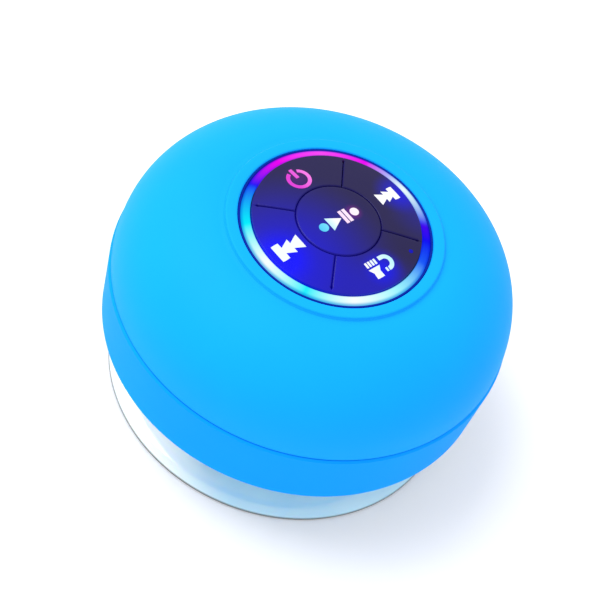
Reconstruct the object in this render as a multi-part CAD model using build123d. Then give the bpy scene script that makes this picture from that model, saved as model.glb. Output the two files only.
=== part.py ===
from build123d import *
from math import cos, dist, pi, radians, sin, sqrt, tan
import os

# Round shower speaker that holds to a wall or stands on a table by one large suction cup.
# Millimetres. The origin is the centre of the cup's rim, +Z points out of the panel face,
# and +Y is up when the speaker hangs on a wall: the power key is on the +Y side of the panel
# and the next-track key on the +X side. The charging port opens at +Y.

# ---------------------------------------------------------------- driving dimensions
# Silicone dome and skirt
SEAM_Z = 31.1                 # height of the joint between dome and skirt
DOME_SIDE_R = 42.85           # dome radius at the seam
SKIRT_TOP_R = 43.25           # the skirt stands a little proud of the dome
SKIRT_FOOT_R = 42.3           # and tapers towards its foot
SKIRT_FOOT_Z = 15.6
SKIRT_FOOT_ROUND = 1.2
SEAM_GAP = 0.3                # open groove between dome and skirt
DOME_EDGE = 0.4               # the dome's lower edge is drawn in by this much
LIP_EDGE = 0.35
SKIRT_EDGE = 0.45
SKIN_FIT = 0.05               # clearance between a silicone skin and the shell under it
LIP_IN_R = 20.55              # raised lip round the control panel
LIP_OUT_R = 23.15
LIP_TOP_Z = 52.75
DOME_TOP_R = 23.9             # where the dome's shoulder starts, at the lip's foot
DOME_TOP_Z = 51.88
SHOULDER_R_POWER = 1.175      # the shoulder is a superellipse with these two powers
SHOULDER_Z_POWER = 0.80

# Hard shells
SHELL = 2.0
SHELL_SIDE_R = 41.3
SHELL_TOP_Z = 50.25
SPLIT_Z = 31.0                # the two shells meet here
WELL_R = 20.6                 # well that holds the control panel
WELL_WALL = 1.5
WELL_FLOOR_Z = 46.2
WELL_FLOOR = 1.2
BASE_Z = 15.0                 # underside of the lower shell
BASE_T = 2.0
BASE_R = 39.4

# Control panel
KEY_CROWN_Z = 54.9            # crown of the domed keys
KEY_EDGE_Z = 53.6             # their height at the rim
KEY_UNDER_Z = 52.3
KEY_OUT_R = 17.9
KEY_SPLIT_R = 9.0             # circle between the play key and the four outer keys
KEY_GAP = 0.12
KEY_POST_SPREAD = 24.0        # degrees from an outer key's middle to each guide post
OUTER_SWITCH_R = 13.0
OUTER_KEYS = {"next": 0.0, "power": 90.0, "previous": 180.0, "phone": 270.0}
SPOKES = (45.0, 135.0, 225.0, 315.0)
MIC_R, MIC_ANGLE, MIC_HOLE_R = 16.0, 303.0, 0.35
RING_IN_R, RING_OUT_R = 18.1, 19.95
RING_IN_Z, RING_OUT_Z = 53.2, 52.72
RING_LEG_R = 18.95
BEZEL_IN_R, BEZEL_OUT_R, BEZEL_TOP_Z = 20.0, 20.5, 52.6
CARRIER_R, CARRIER_LOW_Z, CARRIER_TOP_Z = 18.6, 50.9, 51.7
BOARD_R, BOARD_LOW_Z, BOARD_TOP_Z = 20.4, 47.2, 48.2
BOARD_SCREW_R = 9.5
CARRIER_POST_R = 16.6
PLAY_POST_X = 5.2
LED_R, LED_FIRST_ANGLE, LED_COUNT = 19.4, 22.5, 8
SWITCH_TOP_Z, PLUNGER_TOP_Z = 49.6, 50.2

# Suction cup
CUP_R = 38.1
CUP_HUB_R = 11.0
STUD_R, STUD_CLEARANCE = 4.1, 0.08
STUD_HEAD_R, STUD_HEAD_TOP_Z = 5.3, 19.0
HUB_GAP = 0.1

# Case screws, and the charging port in the back of the skirt
CASE_SCREW_R = 34.0
CASE_SCREW_ANGLES = (20.0, 160.0, 200.0, 340.0)
PORT_Z = 23.4
PORT_W, PORT_H = 10.6, 6.0
FLAP_W, FLAP_H, FLAP_T = 16.0, 9.0, 1.0
FLAP_CLEARANCE = 0.12

# Loudspeaker, firing down through the base
DRIVER_RIM_R = 22.5
DRIVER_SCREW_R = 24.9
DRIVER_SCREW_ANGLES = (90.0, 210.0, 330.0)
RIM_LOW_Z, RIM_TOP_Z = 20.8, 21.6
BASKET_R, BASKET_T = 19.4, 0.8
SHELF_Z, FLANGE_Z = 26.0, 29.5
CONE_FOOT_R, CONE_FOOT_Z = 16.4, 20.75
CONE_NECK_Z = 24.2
COIL_IN_R, COIL_T = 6.75, 0.2

# Main board, a crescent beside the loudspeaker, with the charging socket
MAIN_LOW_Z, MAIN_TOP_Z = 21.0, 22.0
MAIN_IN_R, MAIN_OUT_R = 28.5, 37.6
MAIN_POST_R = 33.0
MAIN_POST_ANGLES = (56.0, 124.0)
USB_W, USB_D, USB_H, USB_WALL = 7.6, 5.6, 2.8, 0.4
USB_MOUTH_Y = 39.0

# Battery
BATTERY_L, BATTERY_W = 34.0, 20.0
BATTERY_LOW_Z, BATTERY_TOP_Z = 39.2, 43.6

WIRE_R = 0.5

UPRIGHT = (Align.CENTER, Align.CENTER, Align.MIN)
SAME_POINT = 1e-6

os.makedirs("parts", exist_ok=True)


# ---------------------------------------------------------------- helpers
def save(name, *solids):
    """Write the named sub-part, one solid or a group of separate solids."""
    shape = solids[0] if len(solids) == 1 else Compound(children=list(solids))
    shape.label = name
    export_step(shape, f"parts/{name}.step")


def turned(*outline):
    """Turn a closed outline about +Z. Entries are (r, z) points, or lists of points for a smooth curve."""
    runs = [entry if isinstance(entry, list) else [entry] for entry in outline]
    edges = []
    for run, following in zip(runs, runs[1:] + runs[:1]):
        if len(run) > 1:
            edges.append(Spline(*run))
        if dist(run[-1], following[0]) > SAME_POINT:
            edges.append(Line(run[-1], following[0]))
    return revolve(Plane.XZ * make_face(Wire(edges)), Axis.Z)


def ring(r_in, r_out, z_low, z_high):
    """A plain ring, or a disc where r_in is 0."""
    outer = Pos(0, 0, z_low) * Cylinder(r_out, z_high - z_low, align=UPRIGHT)
    if r_in <= 0:
        return outer
    return outer - Pos(0, 0, z_low) * Cylinder(r_in, z_high - z_low, align=UPRIGHT)


def peg(r, z_low, z_high, x=0.0, y=0.0):
    return Pos(x, y, z_low) * Cylinder(r, z_high - z_low, align=UPRIGHT)


def block(w, d, h, x, y, z_low):
    return Pos(x, y, z_low) * Box(w, d, h, align=UPRIGHT)


def at(radius, angle):
    return radius * cos(radians(angle)), radius * sin(radians(angle))


def shoulder(r_top, z_top, r_side, z_side, steps=10):
    """The dome's shoulder, from its side to its top, as points on a superellipse."""
    points = []
    for i in range(steps + 1):
        a = pi / 2 * i / steps
        r = r_top + (r_side - r_top) * max(cos(a), 0.0) ** SHOULDER_R_POWER
        z = z_side + (z_top - z_side) * sin(a) ** SHOULDER_Z_POWER
        points.append((r, z))
    return points


def cross_recess(size, depth, z_low, x=0.0, y=0.0):
    bar = Box(size, size * 0.28, depth, align=UPRIGHT)
    return Pos(x, y, z_low) * (bar + Rot(0, 0, 90) * bar)


def screw(head_r, head_h, shank_r, shank_l, recess_down):
    """Pan-head screw with its head's seat at z 0. Its shank runs along +Z, or -Z if recess_down is False."""
    head = Pos(0, 0, -head_h) * Cylinder(head_r, head_h, align=UPRIGHT)
    head = fillet(head.edges().group_by(Axis.Z)[0], head_h * 0.35)
    body = head + Cylinder(shank_r, shank_l, align=UPRIGHT)
    body -= cross_recess(head_r * 1.2, head_h * 0.5, -head_h)
    return body if recess_down else Rot(180, 0, 0) * body


def wire(points, radius=WIRE_R):
    """A round wire on straight runs joined by tangent arcs, each as large as its two runs allow."""
    radii = []
    for before, here, after in zip(points, points[1:], points[2:]):
        a = Vector(*here) - Vector(*before)
        b = Vector(*after) - Vector(*here)
        turn = radians(a.get_angle(b))
        radii.append(0.45 * min(a.length, b.length) / tan(turn / 2))
    print("wire radii", [round(r, 1) for r in radii])
    path = FilletPolyline(*points, radius=radii)
    start = Vector(*points[0])
    section = Plane(origin=start, z_dir=Vector(*points[1]) - start) * Circle(radius)
    return sweep(section, path=path)


# ---------------------------------------------------------------- silicone skins
def silicone_dome_cover():
    """Soft skin over the upper shell, with the raised lip round the control panel."""
    low_z = SEAM_Z + SEAM_GAP / 2
    outer = shoulder(DOME_TOP_R, DOME_TOP_Z, DOME_SIDE_R, low_z + DOME_EDGE)
    inner = shoulder(DOME_TOP_R - 0.7, SHELL_TOP_Z + SKIN_FIT, SHELL_SIDE_R + 2 * SKIN_FIT, low_z)
    return turned(
        (LIP_IN_R, SHELL_TOP_Z + SKIN_FIT),
        (LIP_IN_R, LIP_TOP_Z - LIP_EDGE),
        (LIP_IN_R + LIP_EDGE, LIP_TOP_Z),
        (LIP_OUT_R - LIP_EDGE, LIP_TOP_Z),
        (LIP_OUT_R + 0.15, LIP_TOP_Z - 0.4),
        list(reversed(outer)),
        (DOME_SIDE_R - DOME_EDGE, low_z),
        inner,
    )


def skirt_outline_r(z):
    """Radius of the skirt's outer face at height z."""
    top_z = SEAM_Z - SEAM_GAP / 2 - SKIRT_EDGE
    low_z = SKIRT_FOOT_Z + SKIRT_FOOT_ROUND
    share = (z - low_z) / (top_z - low_z)
    return SKIRT_FOOT_R + (SKIRT_TOP_R - SKIRT_FOOT_R) * share


def foot_round():
    """Points round the skirt's lower outer corner, from the side to the underside."""
    points = []
    for i in range(5):
        a = pi / 2 * i / 4
        r = SKIRT_FOOT_R - SKIRT_FOOT_ROUND * (1 - cos(a))
        z = SKIRT_FOOT_Z + SKIRT_FOOT_ROUND * (1 - sin(a))
        points.append((r, z))
    return points


def skirt_solid():
    """The whole skirt before its port is cut: a band that turns in under the lower shell."""
    top = SEAM_Z - SEAM_GAP / 2
    return turned(
        (SHELL_SIDE_R + SKIN_FIT, top),
        (SKIRT_TOP_R - 0.4, top),
        (SKIRT_TOP_R, top - SKIRT_EDGE),
        foot_round(),
        (BASE_R + SKIN_FIT, SKIRT_FOOT_Z),
        (BASE_R + SKIN_FIT, BASE_Z + BASE_T + 0.2),
        (SHELL_SIDE_R + SKIN_FIT, BASE_Z + BASE_T + 0.2),
    )


def rounded_bar(w, h, depth, y_low, radius):
    """A bar of rounded-rectangle section, w along X and h along Z, running along +Y at the port's height."""
    face = RectangleRounded(w, h, radius)
    plane = Plane(origin=(0, y_low, PORT_Z), x_dir=(-1, 0, 0), z_dir=(0, 1, 0))
    return extrude(plane * face, depth)


def skin_band(thickness, proud=0.0):
    """The skirt's outermost layer round the port's height, as thick as given, and standing proud of it."""
    z_low, z_high = PORT_Z - FLAP_H, PORT_Z + FLAP_H * 0.7
    r_low, r_high = skirt_outline_r(z_low), skirt_outline_r(z_high)
    return turned(
        (r_low - thickness, z_low),
        (r_low + proud, z_low),
        (r_high + proud, z_high),
        (r_high - thickness, z_high),
    )


def silicone_skirt():
    """Soft band round the lower shell, with a recess for the port's flap."""
    recess = rounded_bar(FLAP_W + 2 * FLAP_CLEARANCE, FLAP_H + 2 * FLAP_CLEARANCE, 10, 38, 2.6)
    body = skirt_solid() - (recess & skin_band(FLAP_T + 0.02, proud=2.0))
    return body - rounded_bar(PORT_W, PORT_H, 12, 38, 2.4)


def port_flap():
    """Silicone flap that closes the charging port: a curved tongue with a stub that enters the opening."""
    tongue = rounded_bar(FLAP_W, FLAP_H, 10, 38, 2.5) & skin_band(FLAP_T)
    stub = rounded_bar(PORT_W - 1.8, PORT_H - 1.4, 1.9, 40.1, 1.8)
    return tongue + stub


# ---------------------------------------------------------------- hard shells
def upper_shell():
    """Moulded dome with the well for the control panel and the four screw bosses."""
    outer = shoulder(DOME_TOP_R - 0.75, SHELL_TOP_Z, SHELL_SIDE_R + 0.05, SPLIT_Z)
    inner = shoulder(WELL_R + WELL_WALL + 0.5, SHELL_TOP_Z - SHELL, SHELL_SIDE_R - SHELL, SPLIT_Z)
    body = turned(
        (0, WELL_FLOOR_Z - WELL_FLOOR),
        (WELL_R + WELL_WALL, WELL_FLOOR_Z - WELL_FLOOR),
        (WELL_R + WELL_WALL, SHELL_TOP_Z - SHELL),
        list(reversed(inner)),
        outer,
        (WELL_R, SHELL_TOP_Z),
        (WELL_R, WELL_FLOOR_Z),
        (0, WELL_FLOOR_Z),
    )
    filled = turned((0, SPLIT_Z), outer, (0, SHELL_TOP_Z))
    for angle in CASE_SCREW_ANGLES:
        x, y = at(CASE_SCREW_R, angle)
        body += peg(3.2, SPLIT_Z, 47, x, y) & filled
        body -= peg(1.35, SPLIT_Z, 38.5, x, y)
    for angle in SPOKES:
        x, y = at(BOARD_SCREW_R, angle)
        body += peg(1.9, WELL_FLOOR_Z, BOARD_LOW_Z, x, y)
        body -= peg(0.85, WELL_FLOOR_Z - 0.6, BOARD_LOW_Z, x, y)
    body -= peg(2.6, WELL_FLOOR_Z - 2, WELL_FLOOR_Z + 0.5, 0, 15.0)
    return body


def lower_shell():
    """Moulded tray with the sound slots, the collar for the cup's stud and the posts."""
    body = turned(
        (0, BASE_Z),
        (BASE_R, BASE_Z),
        (BASE_R, BASE_Z + BASE_T + 0.25),
        (SHELL_SIDE_R, BASE_Z + BASE_T + 0.25),
        (SHELL_SIDE_R, SPLIT_Z - 0.1),
        (SHELL_SIDE_R - 2.1, SPLIT_Z - 0.1),
        (SHELL_SIDE_R - 2.1, BASE_Z + BASE_T + 2.2),
        (SHELL_SIDE_R - 3.9, BASE_Z + BASE_T),
        (0, BASE_Z + BASE_T),
    )
    floor_z = BASE_Z + BASE_T
    body -= ring(39.75, 40.75, SPLIT_Z - 1.05, SPLIT_Z)
    body += ring(6.0, 7.4, floor_z, 20.2)
    body += ring(19.6, 22.6, floor_z, 19.4)
    slot = Pos(14.0, 0, BASE_Z - 0.5) * extrude(SlotOverall(9.0, 2.2), BASE_T + 1)
    for i in range(12):
        body -= Rot(0, 0, 30 * i + 15) * slot
    body -= peg(STUD_R + STUD_CLEARANCE, BASE_Z - 1, floor_z + 1)
    for angle in CASE_SCREW_ANGLES:
        x, y = at(CASE_SCREW_R, angle)
        body += peg(3.3, floor_z, SPLIT_Z - 0.1, x, y)
        body -= peg(2.5, BASE_Z - 1, 22.0, x, y)
        body -= peg(1.35, 21.0, SPLIT_Z, x, y)
    for angle in DRIVER_SCREW_ANGLES:
        x, y = at(DRIVER_SCREW_R, angle)
        body += peg(2.2, floor_z, 21.6, x, y)
        body -= peg(1.05, floor_z + 1.0, 21.6, x, y)
    for angle in MAIN_POST_ANGLES:
        x, y = at(MAIN_POST_R, angle)
        body += peg(2.2, floor_z, MAIN_LOW_Z, x, y)
        body -= peg(0.95, floor_z + 1.0, MAIN_LOW_Z, x, y)
    body -= rounded_bar(PORT_W, PORT_H, 6, 38, 2.4)
    return body


# ---------------------------------------------------------------- control panel
def sector(r_in, r_out, middle, gap):
    """A quarter of a ring between two spokes, as a flat face."""
    tip = gap / 2 * sqrt(2)
    reach = 3 * r_out
    wedge = make_face(Polyline((tip, 0), (tip + reach, -reach), (tip + reach, reach), close=True))
    return Rot(0, 0, middle) * (wedge & (Circle(r_out) - Circle(r_in)))


def crowned(face):
    """Stand a key's outline up to the panel's shallow crown."""
    rise = KEY_CROWN_Z - KEY_EDGE_Z
    ball_r = (KEY_OUT_R**2 + rise**2) / (2 * rise)
    ball = Pos(0, 0, KEY_CROWN_Z - ball_r) * Sphere(ball_r)
    return (Pos(0, 0, KEY_UNDER_Z) * extrude(face, 4)) & ball


def guide_post(x, y):
    """Post with a snap head that holds a key in the carrier."""
    head_top = CARRIER_LOW_Z - 0.1
    return peg(0.9, head_top - 0.1, KEY_UNDER_Z + 0.2, x, y) + peg(1.25, head_top - 0.5, head_top, x, y)


def outer_key(middle):
    cap = crowned(sector(KEY_SPLIT_R + KEY_GAP / 2, KEY_OUT_R, middle, KEY_GAP))
    x, y = at(OUTER_SWITCH_R, middle)
    cap += peg(1.1, PLUNGER_TOP_Z, KEY_UNDER_Z + 0.2, x, y)
    for side in (-KEY_POST_SPREAD, KEY_POST_SPREAD):
        cap += guide_post(*at(OUTER_SWITCH_R + 0.8, middle + side))
    return cap


def play_key():
    cap = crowned(Circle(KEY_SPLIT_R - KEY_GAP / 2))
    cap += peg(1.1, PLUNGER_TOP_Z, KEY_UNDER_Z + 0.2)
    for x in (-PLAY_POST_X, PLAY_POST_X):
        cap += guide_post(x, 0)
    return cap


def switch_places():
    places = {"play": (0.0, 0.0)}
    for name, angle in OUTER_KEYS.items():
        places[name] = at(OUTER_SWITCH_R, angle)
    return places


def key_carrier():
    """Plate under the keys that guides their posts and stands on the board."""
    body = ring(0, CARRIER_R, CARRIER_LOW_Z, CARRIER_TOP_Z)
    for angle in SPOKES:
        x, y = at(CARRIER_POST_R, angle)
        body += peg(1.3, BOARD_TOP_Z, CARRIER_LOW_Z, x, y)
    for x, y in switch_places().values():
        body -= peg(1.4, CARRIER_LOW_Z - 1, CARRIER_TOP_Z + 1, x, y)
    for middle in OUTER_KEYS.values():
        for side in (-KEY_POST_SPREAD, KEY_POST_SPREAD):
            x, y = at(OUTER_SWITCH_R + 0.8, middle + side)
            body -= peg(1.0, CARRIER_LOW_Z - 1, CARRIER_TOP_Z + 1, x, y)
    for x in (-PLAY_POST_X, PLAY_POST_X):
        body -= peg(1.0, CARRIER_LOW_Z - 1, CARRIER_TOP_Z + 1, x, 0)
    x, y = at(MIC_R, MIC_ANGLE)
    body -= peg(0.8, CARRIER_LOW_Z - 1, CARRIER_TOP_Z + 1, x, y)
    return body


def light_ring():
    """Milky light guide round the keys: a sloping face on a leg that stands over the LEDs."""
    return turned(
        (RING_IN_R, KEY_UNDER_Z),
        (RING_IN_R, RING_IN_Z),
        (RING_OUT_R, RING_OUT_Z),
        (RING_OUT_R, 49.3),
        (RING_LEG_R, 49.3),
        (RING_LEG_R, KEY_UNDER_Z),
    )


def key_board():
    body = ring(0, BOARD_R, BOARD_LOW_Z, BOARD_TOP_Z)
    for angle in SPOKES:
        x, y = at(BOARD_SCREW_R, angle)
        body -= peg(0.9, BOARD_LOW_Z - 1, BOARD_TOP_Z + 1, x, y)
    return body


def key_switch(x, y):
    body = block(3.4, 3.4, SWITCH_TOP_Z - BOARD_TOP_Z, x, y, BOARD_TOP_Z)
    return body - peg(0.95, 48.4, SWITCH_TOP_Z + 1, x, y)


def ring_led(angle):
    x, y = at(LED_R, angle)
    return Pos(x, y, BOARD_TOP_Z) * Rot(0, 0, angle) * Box(1.0, 1.7, 0.8, align=UPRIGHT)


# ---------------------------------------------------------------- suction cup
def suction_cup():
    """Milky soft cup: a bell with a flat rim, a hub and the stud that snaps into the lower shell."""
    hub_top = BASE_Z - HUB_GAP
    top_sweep = [(CUP_HUB_R, 10.6), (14.0, 8.6), (20.0, 6.7), (27.0, 5.0), (33.0, 3.5), (37.3, 1.9)]
    under_sweep = [(36.9, 0.0), (33.5, 1.0), (27.0, 2.4), (18.0, 4.0), (9.0, 5.2), (0.0, 5.6)]
    floor_top = BASE_Z + BASE_T
    return turned(
        (0, STUD_HEAD_TOP_Z),
        (STUD_HEAD_R - 1.1, STUD_HEAD_TOP_Z),
        (STUD_HEAD_R, floor_top + 0.9),
        (STUD_HEAD_R, floor_top + HUB_GAP),
        (STUD_R, floor_top + HUB_GAP),
        (STUD_R, hub_top),
        (CUP_HUB_R - 0.8, hub_top),
        (CUP_HUB_R, hub_top - 0.8),
        top_sweep,
        (CUP_R, 1.1),
        (CUP_R, 0.0),
        under_sweep,
    )


# ---------------------------------------------------------------- loudspeaker
def driver_frame():
    """Pressed steel basket in two steps, with four windows."""
    body = turned(
        (BASKET_R - BASKET_T, RIM_LOW_Z),
        (DRIVER_RIM_R, RIM_LOW_Z),
        (DRIVER_RIM_R, RIM_TOP_Z),
        (BASKET_R, RIM_TOP_Z),
        (BASKET_R, SHELF_Z + BASKET_T),
        (13.3, SHELF_Z + BASKET_T),
        (13.3, FLANGE_Z + BASKET_T),
        (7.6, FLANGE_Z + BASKET_T),
        (7.6, FLANGE_Z),
        (13.3 - BASKET_T, FLANGE_Z),
        (13.3 - BASKET_T, SHELF_Z),
        (BASKET_R - BASKET_T, SHELF_Z),
    )
    for angle in SPOKES:
        x, y = at(BASKET_R - BASKET_T / 2, angle)
        body -= Pos(x, y, 23.8) * Rot(0, 0, angle) * Box(3.0, 12.0, 2.6)
    return body


def cone_surround():
    """Half-roll rubber edge between the cone and the basket's rim."""
    middle_r, roll, wall = 17.7, 1.3, 0.35
    low = RIM_LOW_Z - 0.4

    def roll_points(radius, back):
        angles = [180 + 30 * i for i in range(7)]
        points = [
            (middle_r + radius * cos(radians(a)), low + 0.05 + radius * sin(radians(a))) for a in angles
        ]
        return list(reversed(points)) if back else points

    return turned(
        (22.4, low),
        (22.4, RIM_LOW_Z),
        (middle_r + roll - wall, RIM_LOW_Z),
        roll_points(roll - wall, True),
        (middle_r - roll + wall, RIM_LOW_Z),
        (middle_r - roll, RIM_LOW_Z),
        roll_points(roll, False),
        (middle_r + roll, low),
    )


def speaker_cone():
    foot_r = CONE_FOOT_R - 0.05
    neck_r = COIL_IN_R + COIL_T
    return turned(
        (foot_r, CONE_FOOT_Z),
        (foot_r, CONE_FOOT_Z + 0.45),
        (neck_r, CONE_NECK_Z + 0.45),
        (neck_r, CONE_NECK_Z),
    )


def voice_coil():
    former = ring(COIL_IN_R, COIL_IN_R + COIL_T, CONE_NECK_Z, 32.0)
    return former + ring(COIL_IN_R + COIL_T - 0.05, COIL_IN_R + 0.4, 29.9, 32.0)


def dust_cap():
    top = [(COIL_IN_R - 0.05, CONE_NECK_Z + 0.4), (4.5, 23.6), (2.3, 23.1), (0.0, 22.95)]
    low = [(0.0, 22.6), (2.4, 22.75), (4.7, 23.3), (COIL_IN_R - 0.05, CONE_NECK_Z)]
    return turned(top, low)


def spider():
    """Corrugated cloth disc that centres the coil."""
    inner, outer = COIL_IN_R + COIL_T, 17.0
    steps = 16
    top, low = [], []
    for i in range(steps + 1):
        r = inner + (outer - inner - 2.2) * i / steps
        wave = 0.28 * sin(pi * i / 2)
        top.append((r, SHELF_Z - 0.5 + wave + 0.12))
        low.append((r, SHELF_Z - 0.5 + wave - 0.12))
    return turned(
        top,
        (outer, SHELF_Z - 0.38),
        (outer, SHELF_Z),
        (outer + 0.6, SHELF_Z),
        (outer + 0.6, SHELF_Z - 0.62),
        list(reversed(low)),
    )


# ---------------------------------------------------------------- main board
def main_board():
    crescent = sector(MAIN_IN_R, MAIN_OUT_R, 90.0, 0.2)
    body = Pos(0, 0, MAIN_LOW_Z) * extrude(crescent, MAIN_TOP_Z - MAIN_LOW_Z)
    for angle in MAIN_POST_ANGLES:
        x, y = at(MAIN_POST_R, angle)
        body -= peg(1.0, MAIN_LOW_Z - 1, MAIN_TOP_Z + 1, x, y)
    return body


def usb_socket():
    """Metal charging socket with its tongue, open towards +Y."""
    middle = USB_MOUTH_Y - USB_D / 2
    shell = block(USB_W, USB_D, USB_H, 0, middle, MAIN_TOP_Z)
    cavity_w, cavity_h = USB_W - 2 * USB_WALL, USB_H - 2 * USB_WALL
    shell -= block(cavity_w, USB_D, cavity_h, 0, middle + 0.9, MAIN_TOP_Z + USB_WALL)
    return shell + block(4.6, USB_D - 1.2, 0.6, 0, middle - 0.4, MAIN_TOP_Z + USB_H / 2 - 0.3)


def usb_gasket():
    """Rubber frame that seals the socket's mouth to the lower shell."""
    y_low, y_high = USB_MOUTH_Y - 1.2, USB_MOUTH_Y - 0.3
    middle, depth = (y_low + y_high) / 2, y_high - y_low
    outer = block(12.0, depth, 4.4, 0, middle, MAIN_TOP_Z)
    return outer - block(USB_W + 0.02, depth + 2, USB_H + 0.01, 0, middle, MAIN_TOP_Z - 0.01)


# ---------------------------------------------------------------- build every sub-part
save("silicone_dome_cover", silicone_dome_cover())
save("silicone_skirt", silicone_skirt())
save("port_flap", port_flap())
save("upper_shell", upper_shell())
save("lower_shell", lower_shell())
save("shell_seal_ring", ring(39.8, 40.7, SPLIT_Z - 1.0, SPLIT_Z))

case_screws = []
for screw_angle in CASE_SCREW_ANGLES:
    sx, sy = at(CASE_SCREW_R, screw_angle)
    case_screws.append(Pos(sx, sy, 22.0) * screw(2.3, 1.8, 1.25, 15.5, True))
save("case_screws", *case_screws)

# Control panel
save("bezel_ring", ring(BEZEL_IN_R, BEZEL_OUT_R, BOARD_TOP_Z, BEZEL_TOP_Z))
save("light_ring", light_ring())
save("key_carrier", key_carrier())
save("play_key", play_key())
for key_name, key_angle in OUTER_KEYS.items():
    key = outer_key(key_angle)
    if key_name == "phone":
        key -= peg(MIC_HOLE_R, KEY_UNDER_Z - 1, KEY_CROWN_Z + 1, *at(MIC_R, MIC_ANGLE))
    save(f"{key_name}_key", key)
for key_name, (px, py) in switch_places().items():
    save(f"{key_name}_plunger", peg(0.85, 49.0, PLUNGER_TOP_Z, px, py))
save("key_board", key_board())
save("key_switches", *[key_switch(px, py) for px, py in switch_places().values()])
save("ring_leds", *[ring_led(LED_FIRST_ANGLE + 360 / LED_COUNT * i) for i in range(LED_COUNT)])
save("microphone", peg(1.6, BOARD_TOP_Z, 49.7, *at(MIC_R, MIC_ANGLE)))
board_screws = []
for screw_angle in SPOKES:
    sx, sy = at(BOARD_SCREW_R, screw_angle)
    board_screws.append(Pos(sx, sy, BOARD_TOP_Z) * screw(1.5, 0.8, 0.8, 2.4, False))
save("key_board_screws", *board_screws)

# Battery between two foam pads, under the panel's well
battery = block(BATTERY_L, BATTERY_W, BATTERY_TOP_Z - BATTERY_LOW_Z, 0, 0, BATTERY_LOW_Z)
battery = fillet(battery.edges().filter_by(Axis.Y), 1.6)
save("battery", battery)
save(
    "battery_pads",
    block(22.0, 14.0, 1.2, 0, 0, BATTERY_LOW_Z - 1.2),
    block(28.0, 14.0, WELL_FLOOR_Z - WELL_FLOOR - BATTERY_TOP_Z, 0, 0, BATTERY_TOP_Z),
)

# Loudspeaker
save("driver_frame", driver_frame())
save("driver_gasket", ring(19.8, 22.4, 19.4, RIM_LOW_Z - 0.4))
save("cone_surround", cone_surround())
save("speaker_cone", speaker_cone())
save("voice_coil", voice_coil())
save("dust_cap", dust_cap())
save("spider", spider())
save("driver_front_plate", ring(7.4, 13.5, 30.3, 31.8))
save("driver_magnet", ring(8.6, 15.0, 31.8, 36.2))
save("driver_yoke", ring(0, 14.4, 36.2, 38.0) + peg(6.35, 30.4, 36.3))
driver_screws = []
for screw_angle in DRIVER_SCREW_ANGLES:
    sx, sy = at(DRIVER_SCREW_R, screw_angle)
    driver_screws.append(Pos(sx, sy, RIM_TOP_Z) * screw(2.9, 1.1, 1.0, 3.2, False))
save("driver_screws", *driver_screws)
save("sound_mesh", ring(7.5, 19.5, BASE_Z + BASE_T, BASE_Z + BASE_T + 0.25))

# Main board with its parts
save("main_board", main_board())
save(
    "board_parts",
    Pos(*at(33.2, 108), MAIN_TOP_Z) * Rot(0, 0, 18) * Box(7.5, 6.0, 1.5, align=UPRIGHT),
    Pos(*at(31.5, 74), MAIN_TOP_Z) * Rot(0, 0, -16) * Box(4.0, 4.0, 1.0, align=UPRIGHT),
    Pos(*at(34.6, 67), MAIN_TOP_Z) * Cylinder(1.8, 3.2, align=UPRIGHT),
)
save("usb_socket", usb_socket())
save("usb_gasket", usb_gasket())
main_screws = []
for screw_angle in MAIN_POST_ANGLES:
    sx, sy = at(MAIN_POST_R, screw_angle)
    main_screws.append(Pos(sx, sy, MAIN_TOP_Z) * screw(1.7, 0.9, 0.9, 3.6, False))
save("main_board_screws", *main_screws)

# Wiring, held inside the case
battery_leads = []
for side in (-0.8, 0.8):
    battery_leads.append(wire([
        (BATTERY_L / 2, 4.0 + side, 41.4),
        (21.5, 4.0 + side, 41.4),
        (25.4, 10.0 + side, 37.6),
        (26.4, 17.0 + side, 31.6),
        (22.0 + side, 25.0, 27.4),
        (22.0 + side, 25.0, MAIN_TOP_Z),
    ]))
save("battery_wires", *battery_leads)
speaker_leads = []
for side in (-1, 1):
    height = 24.1 + 0.7 * side
    speaker_leads.append(wire([
        (*at(BASKET_R + 0.02, 112), height),
        (*at(23.2, 112), height),
        (*at(27.2, 115 + 1.5 * side), 26.4),
        (*at(30.6, 119 + 2.0 * side), 25.6),
        (*at(30.6, 119 + 2.0 * side), MAIN_TOP_Z),
    ]))
save("speaker_wires", *speaker_leads)
panel_leads = []
for side in (-1.2, 0.0, 1.2):
    panel_leads.append(wire([
        (side, 15.0, BOARD_LOW_Z),
        (side, 15.0, 43.4),
        (side * 1.2, 20.5, 39.6),
        (side * 1.2, 27.0, 35.0),
        (side * 1.2, 31.0, 28.8),
        (side * 1.2, 31.0, MAIN_TOP_Z),
    ]))
save("panel_wires", *panel_leads)

save("suction_cup", suction_cup())
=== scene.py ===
import bpy
import numpy as np
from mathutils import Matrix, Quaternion, Vector


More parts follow.
